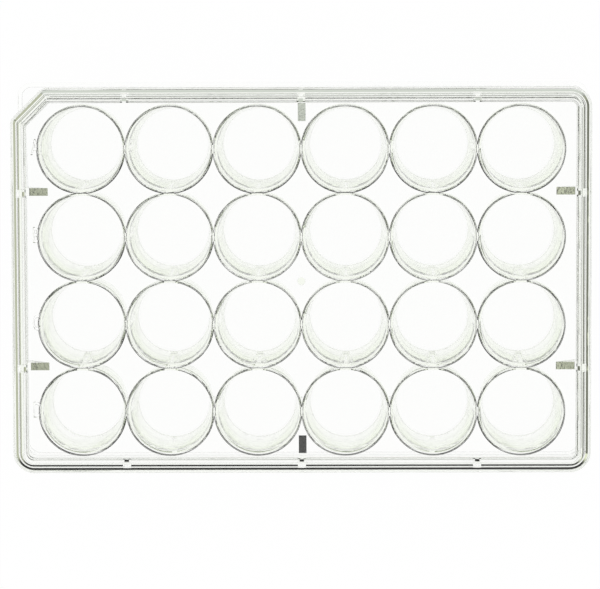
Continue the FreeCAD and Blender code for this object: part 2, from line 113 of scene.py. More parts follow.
def rounded_polygon(bm, corners, steps):
    """A flat face through the corners, each a place and a radius."""
    earlier = set(bm.faces)
    verts = [bm.verts.new(place) for place, _ in corners]
    bm.faces.new(verts)
    for i, (place, radius) in enumerate(corners):
        if radius > 0:
            back = Vector(corners[i - 1][0]) - Vector(place)
            ahead = Vector(corners[(i + 1) % len(corners)][0]) - Vector(place)
            reach = radius / math.tan(back.angle(ahead) / 2)
            ease(bm, [verts[i]], reach, steps, "VERTICES")
    return next(face for face in bm.faces if face not in earlier)


def flange_corners(inset, height):
    """The base flange's outline: four round corners."""
    x, y = HALF_LENGTH - inset, HALF_WIDTH - inset
    radius = FLANGE_CORNER - inset
    return [((sx * x, sy * y, height), radius) for sx, sy in ((1, -1), (1, 1), (-1, 1), (-1, -1))]


def notched_corners(inset, height):
    """The outline of all that stands on the flange: three round corners and the cut one."""
    x, y = HALF_LENGTH - inset, HALF_WIDTH - inset
    leg = NOTCH_LEG - inset * (2 - math.sqrt(2))
    radius = ROUND_CORNER - inset
    notch_ease = max(NOTCH_EASE - inset, LEAST_EASE)
    return [
        ((x, -y, height), radius),
        ((x, y, height), radius),
        ((-x + leg, y, height), notch_ease),
        ((-x, y - leg, height), notch_ease),
        ((-x, -y, height), radius),
    ]


print(f"round corners of {ROUND_CORNER} mm, and {NOTCH_LEG} mm off both sides at the cut one")

# %% [markdown]
# A wall that follows an outline could be a section swept along it. Here it is a stack of outlines, one for
# each change of its section, bridged one to the next and closed by the first and the last. A ledge, a slope
# or a wall is then one row of a list, and a bevel eases the edge at each level. Two outlines in one plane
# could join crossed, so the stack is bridged while they lie far apart, and each then goes to its height.

# %% A stack of outlines
FAR_APART = 100.0


def stack(outline, levels):
    """A closed solid from one cap to the other. Each level is its inset, its height and its edge's radius."""
    bm = bmesh.new()
    faces = [rounded_polygon(bm, outline(level[0], i * FAR_APART), CORNER_STEPS)
             for i, level in enumerate(levels)]
    loops = [list(face.edges) for face in faces]
    corners = [list(face.verts) for face in faces]
    bmesh.ops.delete(bm, geom=faces[1:-1], context="FACES_ONLY")
    for lower, upper in zip(loops, loops[1:]):
        bmesh.ops.bridge_loops(bm, edges=lower + upper)
    for verts, (_, height, _) in zip(corners, levels):
        for vert in verts:
            vert.co.z = height
    bmesh.ops.recalc_face_normals(bm, faces=bm.faces)
    for loop, (_, _, radius) in zip(loops, levels):
        if radius > 0:
            ease(bm, loop, radius)
    print(f"stack of {len(levels)} outlines: {len(bm.faces)} faces")
    return bm


# %% [markdown]
# A mesh becomes an object here. Its faces are turned outwards, because clear plastic has to know its inside
# from its outside. It goes from millimetres to metres in the mesh itself, so the object stays at the origin,
# unturned and unscaled.
#
# The collar is the wall that the lid goes round. Below it come the ledge and the skirt, and the deck closes
# it inside, just under the wells' rims. They could be four solids. One stack holds them all, from the deck's
# underside down, round the skirt's foot and up to the deck's top, so they run into each other with no seam.
# The collar's inner face leans by its draft, which lets the plate leave the mould.

# %% Plate: deck, collar, ledge and skirt
SKIRT_FOOT = 1.0  # the skirt ends inside the flange


def solid(name, *meshes):
    """One object from closed bmesh solids drawn in millimetres, with its faces outwards."""
    mesh = bpy.data.meshes.new(name)
    whole = bmesh.new()
    for bm in meshes:
        bm.to_mesh(mesh)
        bm.free()
        whole.from_mesh(mesh)
    bmesh.ops.recalc_face_normals(whole, faces=whole.faces)
    bmesh.ops.scale(whole, vec=(MM, MM, MM), verts=whole.verts)
    whole.to_mesh(mesh)
    whole.free()
    piece = bpy.data.objects.new(name, mesh)
    bpy.context.collection.objects.link(piece)
    return piece


room_inset = SKIRT_INSET + SKIRT_WALL
plate = solid("plate_moulding", stack(notched_corners, [
    (CAVITY_INSET, DECK_UNDERSIDE, 0.6),
    (CAVITY_INSET, LEDGE_HEIGHT - SKIRT_WALL, 0.15),
    (room_inset, LEDGE_HEIGHT - SKIRT_WALL, 0.2),
    (room_inset, SKIRT_FOOT, 0),
    (SKIRT_INSET, SKIRT_FOOT, 0),
    (SKIRT_INSET, LEDGE_HEIGHT, 0.3),
    (COLLAR_INSET, LEDGE_HEIGHT, 0.15),
    (COLLAR_INSET, RIM_TOP, 0.2),
    (CAVITY_INSET - COLLAR_DRAFT, RIM_TOP, 0.05),
    (CAVITY_INSET, DECK_TOP, 0.1),
]))

# %% [markdown]
# A moulding is one solid. Light bends at every face, so a face left inside the plastic would show. For an
# opaque piece, parts could be just pushed into each other. Here a boolean modifier joins or cuts them and is
# applied at once, with the manifold solver, which is the quickest one for closed solids.
#
# The base flange is the foot that the plate stands on. It is a stack of its own, because its fourth corner
# isn't cut. Two cutters then open the plate from below: one leaves the flange's rim and top, and one opens
# the skirt's room through it.

# %% Plate: base flange
CLEAR = 1.0  # a cutter ends this far past the piece
FOOT_CHAMFER = 0.2


def combine(piece, operation, name, *meshes):
    """Joins other solids to the piece, or cuts them out of it."""
    tool = solid(name, *meshes)
    modifier = piece.modifiers.new(name, "BOOLEAN")
    modifier.operation = operation
    modifier.solver = "MANIFOLD"
    modifier.object = tool
    evaluated = piece.evaluated_get(bpy.context.evaluated_depsgraph_get())
    mesh = bpy.data.meshes.new_from_object(evaluated)
    piece.modifiers.clear()
    old = piece.data
    piece.data = mesh
    bpy.data.meshes.remove(old)
    bpy.data.meshes.remove(tool.data)
    print(f"{operation.lower()} {name}: {len(mesh.polygons)} faces")


combine(plate, "UNION", "flange", stack(flange_corners, [
    (FOOT_CHAMFER, 0, 0),
    (0, FOOT_CHAMFER, 0),
    (0, FLANGE_HEIGHT, 0.3),
]))
combine(plate, "DIFFERENCE", "flange_room", stack(flange_corners, [
    (FLANGE_WALL, -CLEAR, 0),
    (FLANGE_WALL, FLANGE_HEIGHT - FLANGE_WALL, 0.2),
]))
combine(plate, "DIFFERENCE", "skirt_room", stack(notched_corners, [
    (room_inset, -CLEAR, 0),
    (room_inset, FLANGE_HEIGHT + CLEAR, 0),
]))

# %% [markdown]
# Anything round here is turned: half its section is drawn beside the Z axis and spins once about it. A
# cylinder with scaled ends could do for a plain cup, but a drawn section also takes the flare of the mouth
# and the radius in the bottom.

# %% Turned solids
TURN_STEPS = 96
HAIR = 0.001  # two places nearer than this, in millimetres, are one


def spin(bm, steps):
    """A full turn of the whole section about the Z axis, with its seam closed."""
    bmesh.ops.spin(bm, geom=bm.verts[:] + bm.edges[:], cent=(0, 0, 0), axis=(0, 0, 1),
                   angle=2 * math.pi, steps=steps, use_merge=True)


def turned(corners, steps=TURN_STEPS):
    """A closed solid turned round the Z axis from a profile of (across, height, radius) corners."""
    bm = bmesh.new()
    section = [((across, 0, height), radius) for across, height, radius in corners]
    face = rounded_polygon(bm, section, EASE_STEPS)
    bmesh.ops.delete(bm, geom=[face], context="FACES_ONLY")
    on_axis = [edge for edge in bm.edges if all(abs(vert.co.x) < HAIR for vert in edge.verts)]
    bmesh.ops.delete(bm, geom=on_axis, context="EDGES")
    spin(bm, steps)
    bmesh.ops.remove_doubles(bm, verts=bm.verts, dist=HAIR)
    return bm


print(f"turned solids have {TURN_STEPS} flats, {math.pi * PITCH / TURN_STEPS:.2f} mm each on a well's rim")

# %% [markdown]
# All that belongs to a well stands on one grid. An array modifier could repeat it. Here a helper builds it
# anew at each spot, because the spots also go into lots: neighbours overlap a little at their rims, and a
# boolean wants solids that don't touch each other, so they go in like the two colours of a chessboard.

# %% The grid of wells
def places(columns, rows):
    """The middles of a grid of wells, row by row from the front."""
    return [((column - (columns - 1) / 2) * PITCH, (row - (rows - 1) / 2) * PITCH)
            for row in range(rows) for column in range(columns)]


def copies(make, spots):
    """The same bmesh solid at each spot."""
    made = []
    for x, y in spots:
        bm = make()
        bmesh.ops.translate(bm, vec=(x, y, 0), verts=bm.verts)
        made.append(bm)
    return made


wells = places(COLUMNS, ROWS)
even = [spot for i, spot in enumerate(wells) if (i + i // COLUMNS) % 2 == 0]
odd = [spot for i, spot in enumerate(wells) if (i + i // COLUMNS) % 2 == 1]
COLUMN_REACH, ROW_REACH = (COLUMNS - 1) * PITCH / 2, (ROWS - 1) * PITCH / 2
print(f"{len(wells)} wells in lots of {len(even)} and {len(odd)}, out to {COLUMN_REACH} and {ROW_REACH} mm")

# %% [markdown]
# Wells are cups that hang from the deck, and their rims stand a millimetre proud of it. A cup could be a
# shell with a thickness. It is made as its outside, joined to the deck now, and its bore, cut out when the
# webs are in, because the bore then also clears the webs from inside it. Both narrow downwards by a draft.

# %% Plate: outsides of the wells
WELL_DEPTH, FLOOR_THICKNESS, FLOOR_EASE, WELL_WALL = 17.5, 1.27, 0.5, 0.75
BOTTOM, THROAT, MOUTH, MOUTH_DEPTH = 16.1 / 2, 17.48 / 2, 18.0 / 2, 2.5
RIM_FOOT, CREST, RIM_EASE = 19.4 / 2, 18.9 / 2, 0.15
FLOOR_TOP = RIM_TOP - WELL_DEPTH
FLOOR_UNDERSIDE = FLOOR_TOP - FLOOR_THICKNESS


def well_outside():
    """The cup as if it were full, from its floor to its rim."""
    return turned([
        (0, FLOOR_UNDERSIDE, 0),
        (BOTTOM + WELL_WALL, FLOOR_UNDERSIDE, FLOOR_EASE),
        (THROAT + WELL_WALL, DECK_UNDERSIDE, 0),
        (RIM_FOOT, DECK_TOP, 0),
        (CREST, RIM_TOP, RIM_EASE),
        (0, RIM_TOP, 0),
    ])


combine(plate, "UNION", "wells_even", *copies(well_outside, even))
combine(plate, "UNION", "wells_odd", *copies(well_outside, odd))

# %% [markdown]
# Thin webs stand between neighbouring wells and carry them. Each web could be cut to its gap. It is simpler
# to run one long block through a whole row or column of wells, because the bores cut away what would stand
# inside them.

# %% Plate: webs
WEB_WIDTH = 1.6
half_web = WEB_WIDTH / 2


def block(low, high, radius=0.0):
    """A box between two corners, with its upright edges eased."""
    bm = bmesh.new()
    size = Vector(high) - Vector(low)
    middle = (Vector(high) + Vector(low)) / 2
    bmesh.ops.create_cube(bm, size=1.0)
    bmesh.ops.scale(bm, vec=size, verts=bm.verts)
    bmesh.ops.translate(bm, vec=middle, verts=bm.verts)
    if radius > 0:
        upright = [edge for edge in bm.edges if abs(edge.verts[0].co.z - edge.verts[1].co.z) > HAIR]
        ease(bm, upright, radius)
    return bm


combine(plate, "UNION", "row_webs", *[
    block((-COLUMN_REACH, y - half_web, FLOOR_UNDERSIDE), (COLUMN_REACH, y + half_web, RIM_TOP))
    for _, y in places(1, ROWS)])
combine(plate, "UNION", "column_webs", *[
    block((x - half_web, -ROW_REACH, FLOOR_UNDERSIDE), (x + half_web, ROW_REACH, RIM_TOP))
    for x, _ in places(COLUMNS, 1)])

# %% [markdown]
# Four low ribs stiffen the long sides: each runs from an outer well to the skirt, in line with the wells of
# columns 2 and 5. They are blocks too. Their inner ends lie under the wells' middles, where the bores and
# the cups take them in.

# %% Plate: low ribs
RIB_WIDTH, RIB_HEIGHT, RIB_COLUMN = 0.9, 3.6, 2
half_rib = RIB_WIDTH / 2
rib_x = COLUMN_REACH - (RIB_COLUMN - 1) * PITCH
rib_end = HALF_WIDTH - SKIRT_INSET - SKIRT_WALL / 2
combine(plate, "UNION", "low_ribs", *[
    block((x - half_rib, min(side * ROW_REACH, side * rib_end), FLOOR_UNDERSIDE),
          (x + half_rib, max(side * ROW_REACH, side * rib_end), FLOOR_UNDERSIDE + RIB_HEIGHT))
    for x in (-rib_x, rib_x) for side in (-1, 1)])

# %% [markdown]
# The bore is the room of a well: a round floor with a radius, a wall that widens upwards, and a mouth that
# flares a little more, so that a pipette finds its way in. The cutter goes on above the rim, wider and almost
# flat, and the radius in that corner rounds the mouth's edge without a bevel on the joined mesh.

# %% Plate: bores
FLARE = 2 * RIM_EASE
FLARE_RISE = FLARE / 8
BORE_END = RIM_TOP + 2 * CLEAR


def well_bore():
    """The cutter for a well's room."""
    return turned([
        (0, FLOOR_TOP, 0),
        (BOTTOM, FLOOR_TOP, FLOOR_EASE),
        (THROAT, RIM_TOP - MOUTH_DEPTH, 0),
        (MOUTH, RIM_TOP, RIM_EASE),
        (MOUTH + FLARE, RIM_TOP + FLARE_RISE, 0),
        (MOUTH + FLARE, BORE_END, 0),
        (0, BORE_END, 0),
    ])


combine(plate, "DIFFERENCE", "bores", *copies(well_bore, wells))

# %% [markdown]
# Six gussets brace the deck against the collar. Each is a thin triangle, and its lower edge runs down to the
# wall at 45 degrees. Seen from above, that edge is a mirror inside the plastic: it shows the room beside the
# plate, so each gusset is as bright or as dark as the side that it faces. It could be a prism drawn in the
# section. A block with eased inner corners is quicker, and a plane at 45 degrees cuts its lower part off.

# %% Plate: gussets
QUARTER = math.pi / 2
GUSSET_WIDTH, GUSSET_REACH, GUSSET_DROP, GUSSET_EASE = 1.7, 5.25, 4.3, 0.45
row_line, column_line = (ROWS / 2 - 1) * PITCH, (COLUMNS / 2 - 1) * PITCH
gusset_spots = [(0, 0), (2 * QUARTER, 0), (3 * QUARTER, row_line), (3 * QUARTER, -row_line),
                (QUARTER, row_line), (QUARTER, -row_line)]


def edge_reach(turn):
    """From the middle to the footprint line, on the side that a quarter turn brings +Y to."""
    return HALF_LENGTH if round(turn / QUARTER) % 2 else HALF_WIDTH


def to_edge(bm, turn, along):
    """Turns a solid drawn on the +Y side to its own side, and shifts it along that side."""
    bmesh.ops.rotate(bm, cent=(0, 0, 0), matrix=Matrix.Rotation(turn, 3, "Z"), verts=bm.verts)
    shift = (0, along, 0) if round(turn / QUARTER) % 2 else (along, 0, 0)
    bmesh.ops.translate(bm, vec=shift, verts=bm.verts)
    return bm


def gusset(turn, along):
    """A gusset, rooted in the deck and in the collar's wall."""
    wall = edge_reach(turn) - CAVITY_INSET
    root = COLLAR_WALL / 2
    tip = wall - GUSSET_REACH
    bm = block((-GUSSET_WIDTH / 2, tip - root, DECK_UNDERSIDE - GUSSET_DROP),
               (GUSSET_WIDTH / 2, wall + root, DECK_UNDERSIDE + root))
    inner = [edge for edge in bm.edges if all(vert.co.y < tip for vert in edge.verts)
             and abs(edge.verts[0].co.z - edge.verts[1].co.z) > root]
    ease(bm, inner, GUSSET_EASE)
    cut = bmesh.ops.bisect_plane(bm, geom=bm.verts[:] + bm.edges[:] + bm.faces[:], dist=HAIR,
                                 plane_co=(0, tip, DECK_UNDERSIDE), plane_no=(0, -1, -1), clear_outer=True)
    rim = [part for part in cut["geom_cut"] if isinstance(part, bmesh.types.BMEdge)]
    bmesh.ops.contextual_create(bm, geom=rim)
    return to_edge(bm, turn, along)


combine(plate, "UNION", "gussets", *[gusset(turn, along) for turn, along in gusset_spots])

# %% [markdown]
# The lid is a shallow tray upside down. Its panel carries a low ridge that the next plate's flange fits
# round, and the ridge slopes down inside to the panel. Under the margin, the panel thickens towards the wall
# in two steps with faces at 45 degrees. They mirror the light sideways, so they show as dark lines all
# round. A fine bead runs beside them. The lid could be a box that is hollowed from below, with the rest
# added one by one. All of it follows the outline, though, so it is one more stack, from the panel's
# underside round the skirt to the panel's top.

# %% Lid: skirt, panel and ridge
LID_WALL, LID_GAP, PANEL_THICKNESS = 0.6, 0.6, 1.1
RIDGE_WIDTH, RIDGE_SLOPE = 0.95, 0.75
STEP_RISE, STEP_FLAT = 0.5, 0.25
BEAD_INSET, BEAD_WIDTH, BEAD_TIP, BEAD_HEIGHT = 2.65, 0.3, 0.01, 0.17
PANEL_UNDERSIDE = RIM_TOP + LID_GAP
PANEL_TOP = PANEL_UNDERSIDE + PANEL_THICKNESS
inner_wall = LID_INSET + LID_WALL
ridge_foot = COLLAR_INSET + RIDGE_WIDTH + RIDGE_SLOPE

lid = solid("lid_moulding", stack(notched_corners, [
    (BEAD_INSET + BEAD_WIDTH / 2, PANEL_UNDERSIDE, 0),
    (BEAD_INSET + BEAD_TIP / 2, PANEL_UNDERSIDE - BEAD_HEIGHT, 0),
    (BEAD_INSET - BEAD_TIP / 2, PANEL_UNDERSIDE - BEAD_HEIGHT, 0),
    (BEAD_INSET - BEAD_WIDTH / 2, PANEL_UNDERSIDE, 0),
    (inner_wall + 2 * STEP_RISE + STEP_FLAT, PANEL_UNDERSIDE, 0),
    (inner_wall + STEP_RISE + STEP_FLAT, PANEL_UNDERSIDE - STEP_RISE, 0),
    (inner_wall + STEP_RISE, PANEL_UNDERSIDE - STEP_RISE, 0),
    (inner_wall, PANEL_UNDERSIDE - 2 * STEP_RISE, 0),
    (inner_wall, LID_EDGE, 0.2),
    (LID_INSET, LID_EDGE, 0.2),
    (LID_INSET, PANEL_TOP, 0.5),
    (COLLAR_INSET, PANEL_TOP, 0.1),
    (COLLAR_INSET, RIDGE_TOP, 0.2),
    (COLLAR_INSET + RIDGE_WIDTH, RIDGE_TOP, 0.15),
    (ridge_foot, PANEL_TOP, 0.2),
]))

# %% [markdown]
# At ten places the ridge is cut through, and a narrow strip lies in the cut. Under each strip a spacer rests
# on the collar and keeps the lid a little open, so that air gets in. The stack can't hold them, because they
# don't go all round. They are blocks square to the edge, and one helper draws them on one side and turns
# them to their own. A spacer's inner end slopes at 45 degrees, so it shows as a small dark mark.

# %% Lid: strips and spacers
STRIP_WIDTH, STRIP_HEIGHT, STRIP_ROOT = 1.0, 0.35, 0.2
STRIP_EASE = STRIP_WIDTH / 4
SPACER_WIDTH, SPACER_REACH, SPACER_LIFT = 1.8, 2.4, 0.04
strip_outer = LID_INSET + LID_WALL / 2
strip_spots = gusset_spots + [(turn, along) for turn in (0, 2 * QUARTER)
                              for along in (-column_line, column_line)]


def edge_strip(turn, along, outer, inner, width, bottom, top, radius=0.0, slope=0.0):
    """A strip square to the edge, between two insets and two heights. Its inner end may slope."""
    reach = edge_reach(turn)
    bm = block((-width / 2, reach - inner, bottom), (width / 2, reach - outer, top), radius)
    toe = [vert for vert in bm.verts if vert.co.z < top - HAIR and vert.co.y < reach - inner + HAIR]
    bmesh.ops.translate(bm, vec=(0, slope, 0), verts=toe)
    return to_edge(bm, turn, along)


combine(lid, "DIFFERENCE", "slots", *[
    edge_strip(turn, along, strip_outer, ridge_foot, STRIP_WIDTH, PANEL_TOP, RIDGE_TOP + CLEAR, STRIP_EASE)
    for turn, along in strip_spots])
combine(lid, "UNION", "strips", *[
    edge_strip(turn, along, strip_outer, ridge_foot, STRIP_WIDTH, PANEL_TOP - STRIP_ROOT,
               PANEL_TOP + STRIP_HEIGHT, STRIP_EASE)
    for turn, along in strip_spots])
combine(lid, "UNION", "spacers", *[
    edge_strip(turn, along, strip_outer, inner_wall + SPACER_REACH, SPACER_WIDTH,
               RIM_TOP + SPACER_LIFT, PANEL_UNDERSIDE, slope=LID_GAP - SPACER_LIFT)
    for turn, along in strip_spots])

# %% [markdown]
# Under the panel, a fine ring over each well keeps drops from running to the next one. It could be a torus
# sunk in the panel. A bead with steep straight sides is nearer to the mould's cut groove, and those sides
# are what draws each ring as a dark line. It is turned from its own section, which has a hole in the middle.

# %% Lid: rings
RING, RING_WIDTH, RING_TIP, RING_HEIGHT = 19.1 / 2, 0.42, 0.01, 0.25
RING_EDGE = PANEL_UNDERSIDE - RING_HEIGHT
PANEL_MIDDLE = PANEL_UNDERSIDE + PANEL_THICKNESS / 2


def ring():
    """A bead under the panel that narrows to its lower edge, rooted in the panel."""
    half_tip, half_width = RING_TIP / 2, RING_WIDTH / 2
    section = [(-half_tip, RING_EDGE), (half_tip, RING_EDGE), (half_width, PANEL_UNDERSIDE),
               (half_width, PANEL_MIDDLE), (-half_width, PANEL_MIDDLE), (-half_width, PANEL_UNDERSIDE)]
    bm = bmesh.new()
    face = bm.faces.new([bm.verts.new((RING + across, 0, height)) for across, height in section])
    bmesh.ops.delete(bm, geom=[face], context="FACES_ONLY")
    spin(bm, TURN_STEPS)
    return bm


combine(lid, "UNION", "rings_even", *copies(ring, even))
combine(lid, "UNION", "rings_odd", *copies(ring, odd))

# %% [markdown]
# Where two rings meet they run into a flat land, as the milling cutter leaves it in the mould. Between two
# rings of a row it is a small bead with a flat top. In a column it is a plain block that levels the lower
# ring. Both are blocks, and the first is narrowed at its lower face and then extruded up into the panel.

# %% Lid: lands between the rings
LAND_LENGTH, LAND_WIDTH, LAND_FLANK = 2.2, 0.58, 0.17
COLUMN_LAND_WIDTH, COLUMN_LAND_LENGTH = 0.5, 2.4


def row_land():
    """A flat-topped bead that fills the gap between two rings of a row."""
    half_x, half_y = LAND_WIDTH / 2, LAND_LENGTH / 2
    bm = block((-half_x, -half_y, RING_EDGE), (half_x, half_y, PANEL_UNDERSIDE))
    tip = [vert for vert in bm.verts if vert.co.z < PANEL_UNDERSIDE - RING_HEIGHT / 2]
    bmesh.ops.scale(bm, vec=(1 - LAND_FLANK / half_x, 1 - LAND_FLANK / half_y, 1), verts=tip)
    root = [face for face in bm.faces if face.calc_center_median().z > PANEL_UNDERSIDE - HAIR]
    grown = bmesh.ops.extrude_face_region(bm, geom=root)
    upper = [part for part in grown["geom"] if isinstance(part, bmesh.types.BMVert)]
    bmesh.ops.translate(bm, vec=(0, 0, PANEL_MIDDLE - PANEL_UNDERSIDE), verts=upper)
    bmesh.ops.delete(bm, geom=root, context="FACES_ONLY")
    return bm


def column_land():
    """A block that levels the lower one of two rings of a column, where they meet."""
    return block((-COLUMN_LAND_LENGTH / 2, -COLUMN_LAND_WIDTH, RING_EDGE),
                 (COLUMN_LAND_LENGTH / 2, 0, PANEL_MIDDLE), COLUMN_LAND_WIDTH / 4)


combine(lid, "UNION", "lands", *copies(row_land, places(COLUMNS - 1, ROWS)),
        *copies(column_land, places(COLUMNS, ROWS - 1)))

# %% [markdown]
# The rows are lettered at their left end, A at the back. Letters could be engraved with a boolean. Here they
# stand proud, as they do when they are cut into the mould. Each is a text curve with a little depth, and its
# bevel gives every stroke sides of 45 degrees, so it shows as a faint outline. They hang under the panel,
# where nothing rubs on them, and read the right way round from above.

# %% Lid: row letters
LETTER_SIZE, LETTER_NARROWING, LETTER_BEVEL, LETTER_ROOT, LETTER_STEPS = 4.7, 0.55, 0.13, 0.25, 3
LETTER_X, LETTER_Y = 10.0, 0.4  # left of column 1, and above the row's middle


def letter(text):
    """A capital letter as a closed solid, half sunk in the underside of the panel."""
    curve = bpy.data.curves.new("row_letter", "FONT")
    curve.body, curve.size = text, LETTER_SIZE
    curve.align_x, curve.align_y = "CENTER", "CENTER"
    curve.extrude, curve.bevel_depth, curve.bevel_resolution = LETTER_ROOT / 2, LETTER_BEVEL, 0
    curve.resolution_u = LETTER_STEPS
    holder = bpy.data.objects.new("row_letter", curve)
    mesh = bpy.data.meshes.new_from_object(holder)
    bm = bmesh.new()
    bm.from_mesh(mesh)
    bmesh.ops.remove_doubles(bm, verts=bm.verts, dist=HAIR)
    bmesh.ops.scale(bm, vec=(LETTER_NARROWING, 1, 1), verts=bm.verts)
    bmesh.ops.translate(bm, vec=(0, 0, PANEL_UNDERSIDE + LETTER_ROOT / 2), verts=bm.verts)
    open_edges = sum(not edge.is_manifold for edge in bm.edges)
    print(f"letter {text}: {len(bm.faces)} faces, open edges {open_edges}")
    bpy.data.objects.remove(holder)
    bpy.data.curves.remove(curve)
    bpy.data.meshes.remove(mesh)
    return bm


row_letters = []
for (x, y), text in zip(places(1, ROWS), "DCBA"):
    bm = letter(text)
    bmesh.ops.translate(bm, vec=(-COLUMN_REACH - LETTER_X, y + LETTER_Y, 0), verts=bm.verts)
    row_letters.append(bm)
combine(lid, "UNION", "row_letters", *row_letters)

# %% [markdown]
# The plastic enters the mould in the middle of the panel, and the gate leaves a small round dent there. A
# bump could draw it, but only a real dent is in the mesh too. A turned cutter with an eased rim makes it. The
# lid is whole then, and its mesh goes to its place on the plate.

# %% Lid: gate mark and place
GATE, GATE_DEPTH, GATE_EASE, GATE_STEPS = 0.9, 0.2, 0.1, 48
GATE_BOTTOM = PANEL_TOP - GATE_DEPTH
combine(lid, "DIFFERENCE", "gate_mark", turned([
    (0, GATE_BOTTOM, 0),
    (GATE, GATE_BOTTOM, GATE_EASE),
    (GATE, PANEL_TOP + CLEAR, 0),
    (0, PANEL_TOP + CLEAR, 0),
], GATE_STEPS))
lid.data.transform(Matrix.Translation(LID_MIDDLE * MM))
print(f"lid {LID_MIDDLE.x:.2f} mm right and {LID_MIDDLE.y:.2f} mm back of the plate's middle")

# %% [markdown]
# Both meshes are shaded smooth, with every crease over 30 degrees kept sharp. Plain smooth shading would
# lean the normals of a flat wall towards the small radius beside it, and a leaning normal bends the light in
# clear plastic. A weighted normal follows the larger face, so the flat walls stay truly flat.

# %% Finish the two meshes
CREASE = math.radians(30)
MERGE, SLIVER = 0.002, 0.001  # millimetres


def finish_surface(piece):
    """Merges doubles, drops slivers, and sets which edges are smooth."""
    bm = bmesh.new()
    bm.from_mesh(piece.data)
    bmesh.ops.remove_doubles(bm, verts=bm.verts, dist=MERGE * MM)
    bmesh.ops.dissolve_degenerate(bm, edges=bm.edges, dist=SLIVER * MM)
    for face in bm.faces:
        face.smooth = True
    for edge in bm.edges:
        edge.smooth = edge.is_manifold and edge.calc_face_angle(0) < CREASE
    volume = bm.calc_volume(signed=True) / MM ** 3 / 1000
    open_edges = sum(not edge.is_manifold for edge in bm.edges)
    print(f"{piece.name}: {len(bm.faces)} faces, volume {volume:.2f} cm3, open edges {open_edges}")
    bm.to_mesh(piece.data)
    bm.free()
    weighted = piece.modifiers.new("flat_walls", "WEIGHTED_NORMAL")
    weighted.keep_sharp = True


finish_surface(plate)
finish_surface(lid)

# %% [markdown]
# Colours are written as sRGB hex values, as a designer reads them, and Blender's sockets want linear ones, so
# one function turns them over. Nodes could each be made by a few lines of their own. One helper adds any
# node with its settings and its links, so that a tree reads from its inputs to its output.

# %% Colours and nodes
def linear(hex_colour):
    """An sRGB hex colour as linear values with alpha."""
    channels = [int(hex_colour[i:i + 2], 16) / 255 for i in (1, 3, 5)]
    return [c / 12.92 if c <= 0.04045 else ((c + 0.055) / 1.055) ** 2.4 for c in channels] + [1.0]


def empty_tree(owner):
    """The node tree of a material or a world, with nothing in it."""
    owner.use_nodes = True
    owner.node_tree.nodes.clear()
    return owner.node_tree


def add(tree, kind, settings=None, links=None):
    """A node of that kind.

    A setting goes to the socket of that name or number, or else to the property of that name. A link comes
    from a socket, or from a node's first output."""
    node = tree.nodes.new(kind)
    for name, value in (settings or {}).items():
        if isinstance(name, int) or name in node.inputs:
            node.inputs[name].default_value = value
        else:
            setattr(node, name, value)
    for name, source in (links or {}).items():
        output = source.outputs[0] if isinstance(source, bpy.types.Node) else source
        tree.links.new(output, node.inputs[name])
    return node


WHITE = linear("#FFFFFF")
print("white in linear values:", WHITE)

# %% [markdown]
# Both pieces are general purpose polystyrene, injection moulded. Most of the mould is polished, which makes
# it as clear as glass. It bends light more than glass does, and where it is thick it has the faintest green.
# A surface colour could tint it, but that doesn't know how thick the plastic is, so a volume does.
#
# No moulding is perfectly even: the plastic's flow leaves a slow waviness of a few micrometres, and a
# straight edge behind it wavers a little. The sloped faces of the gussets and the gate mark come from
# spark-eroded inserts, whose fine texture gives them a soft grey. Both are the same noise as a bump, long
# and shallow or short and deeper.

# %% Material: polystyrene
POLYSTYRENE_IOR = 1.59
MIRROR_DIMMING_TINT = "#959595"  # painted shade on the reflections: a grey tint that dims all that the plastic mirrors
THICK_GREEN, GREEN_DENSITY = "#D6EAA8", 9.0
POLISHED, ERODED = 0.0, 0.1  # roughness
FLOW_LENGTH, FLOW_DEPTH = 3.0, 0.002  # in millimetres, as the wave between two flow lines
GRAIN_LENGTH, GRAIN_DEPTH = 0.8, 0.025  # the real grain is about 0.1 mm, too fine to show, so this is coarser


def polystyrene(name, roughness, wave_mm, depth_mm):
    """Clear polystyrene with waves that long and that deep on its surface."""
    material = bpy.data.materials.new(name)
    tree = empty_tree(material)
    place = add(tree, "ShaderNodeTexCoord")
    waves = add(tree, "ShaderNodeTexNoise", {"Scale": 1 / (wave_mm * MM), "Detail": 2.0, "Roughness": 0.5},
                {"Vector": place.outputs["Object"]})
    relief = add(tree, "ShaderNodeBump", {"Strength": 1.0, "Distance": depth_mm * MM}, {"Height": waves})
    surface = add(tree, "ShaderNodeBsdfPrincipled", {
        "Base Color": WHITE,
        "Transmission Weight": 1.0,
        "IOR": POLYSTYRENE_IOR,
        # The grey specular tint is painted shade: it darkens the mirror image on every wall.
        "Specular Tint": linear(MIRROR_DIMMING_TINT),
        "Roughness": roughness,
    }, {"Normal": relief})
    green = add(tree, "ShaderNodeVolumeAbsorption", {"Color": linear(THICK_GREEN), "Density": GREEN_DENSITY})
    add(tree, "ShaderNodeOutputMaterial", links={"Surface": surface, "Volume": green})
    print(f"{name}: {len(tree.nodes)} nodes, waves {wave_mm} mm long and {depth_mm} mm deep")
    return material


clear_polystyrene = polystyrene("clear_polystyrene", POLISHED, FLOW_LENGTH, FLOW_DEPTH)
textured_polystyrene = polystyrene("textured_polystyrene", ERODED, GRAIN_LENGTH, GRAIN_DEPTH)

# %% [markdown]
# Each piece carries both materials, and a face chooses one by its number. The textured faces could be picked
# by hand in the editor. Here a test on a face's place and slope finds them, so it still holds when a size
# changes. Then each piece takes the place of its CAD node and rides on the only body.

# %% Materials on the two mouldings
STEEP, STEEP_SPREAD = math.sqrt(0.5), 0.001  # the height of a normal at 45 degrees, and its tolerance
LEVEL = 0.99  # the normal of a level face is at least that high
SMALLEST_SLOPE = 1.0  # square millimetres


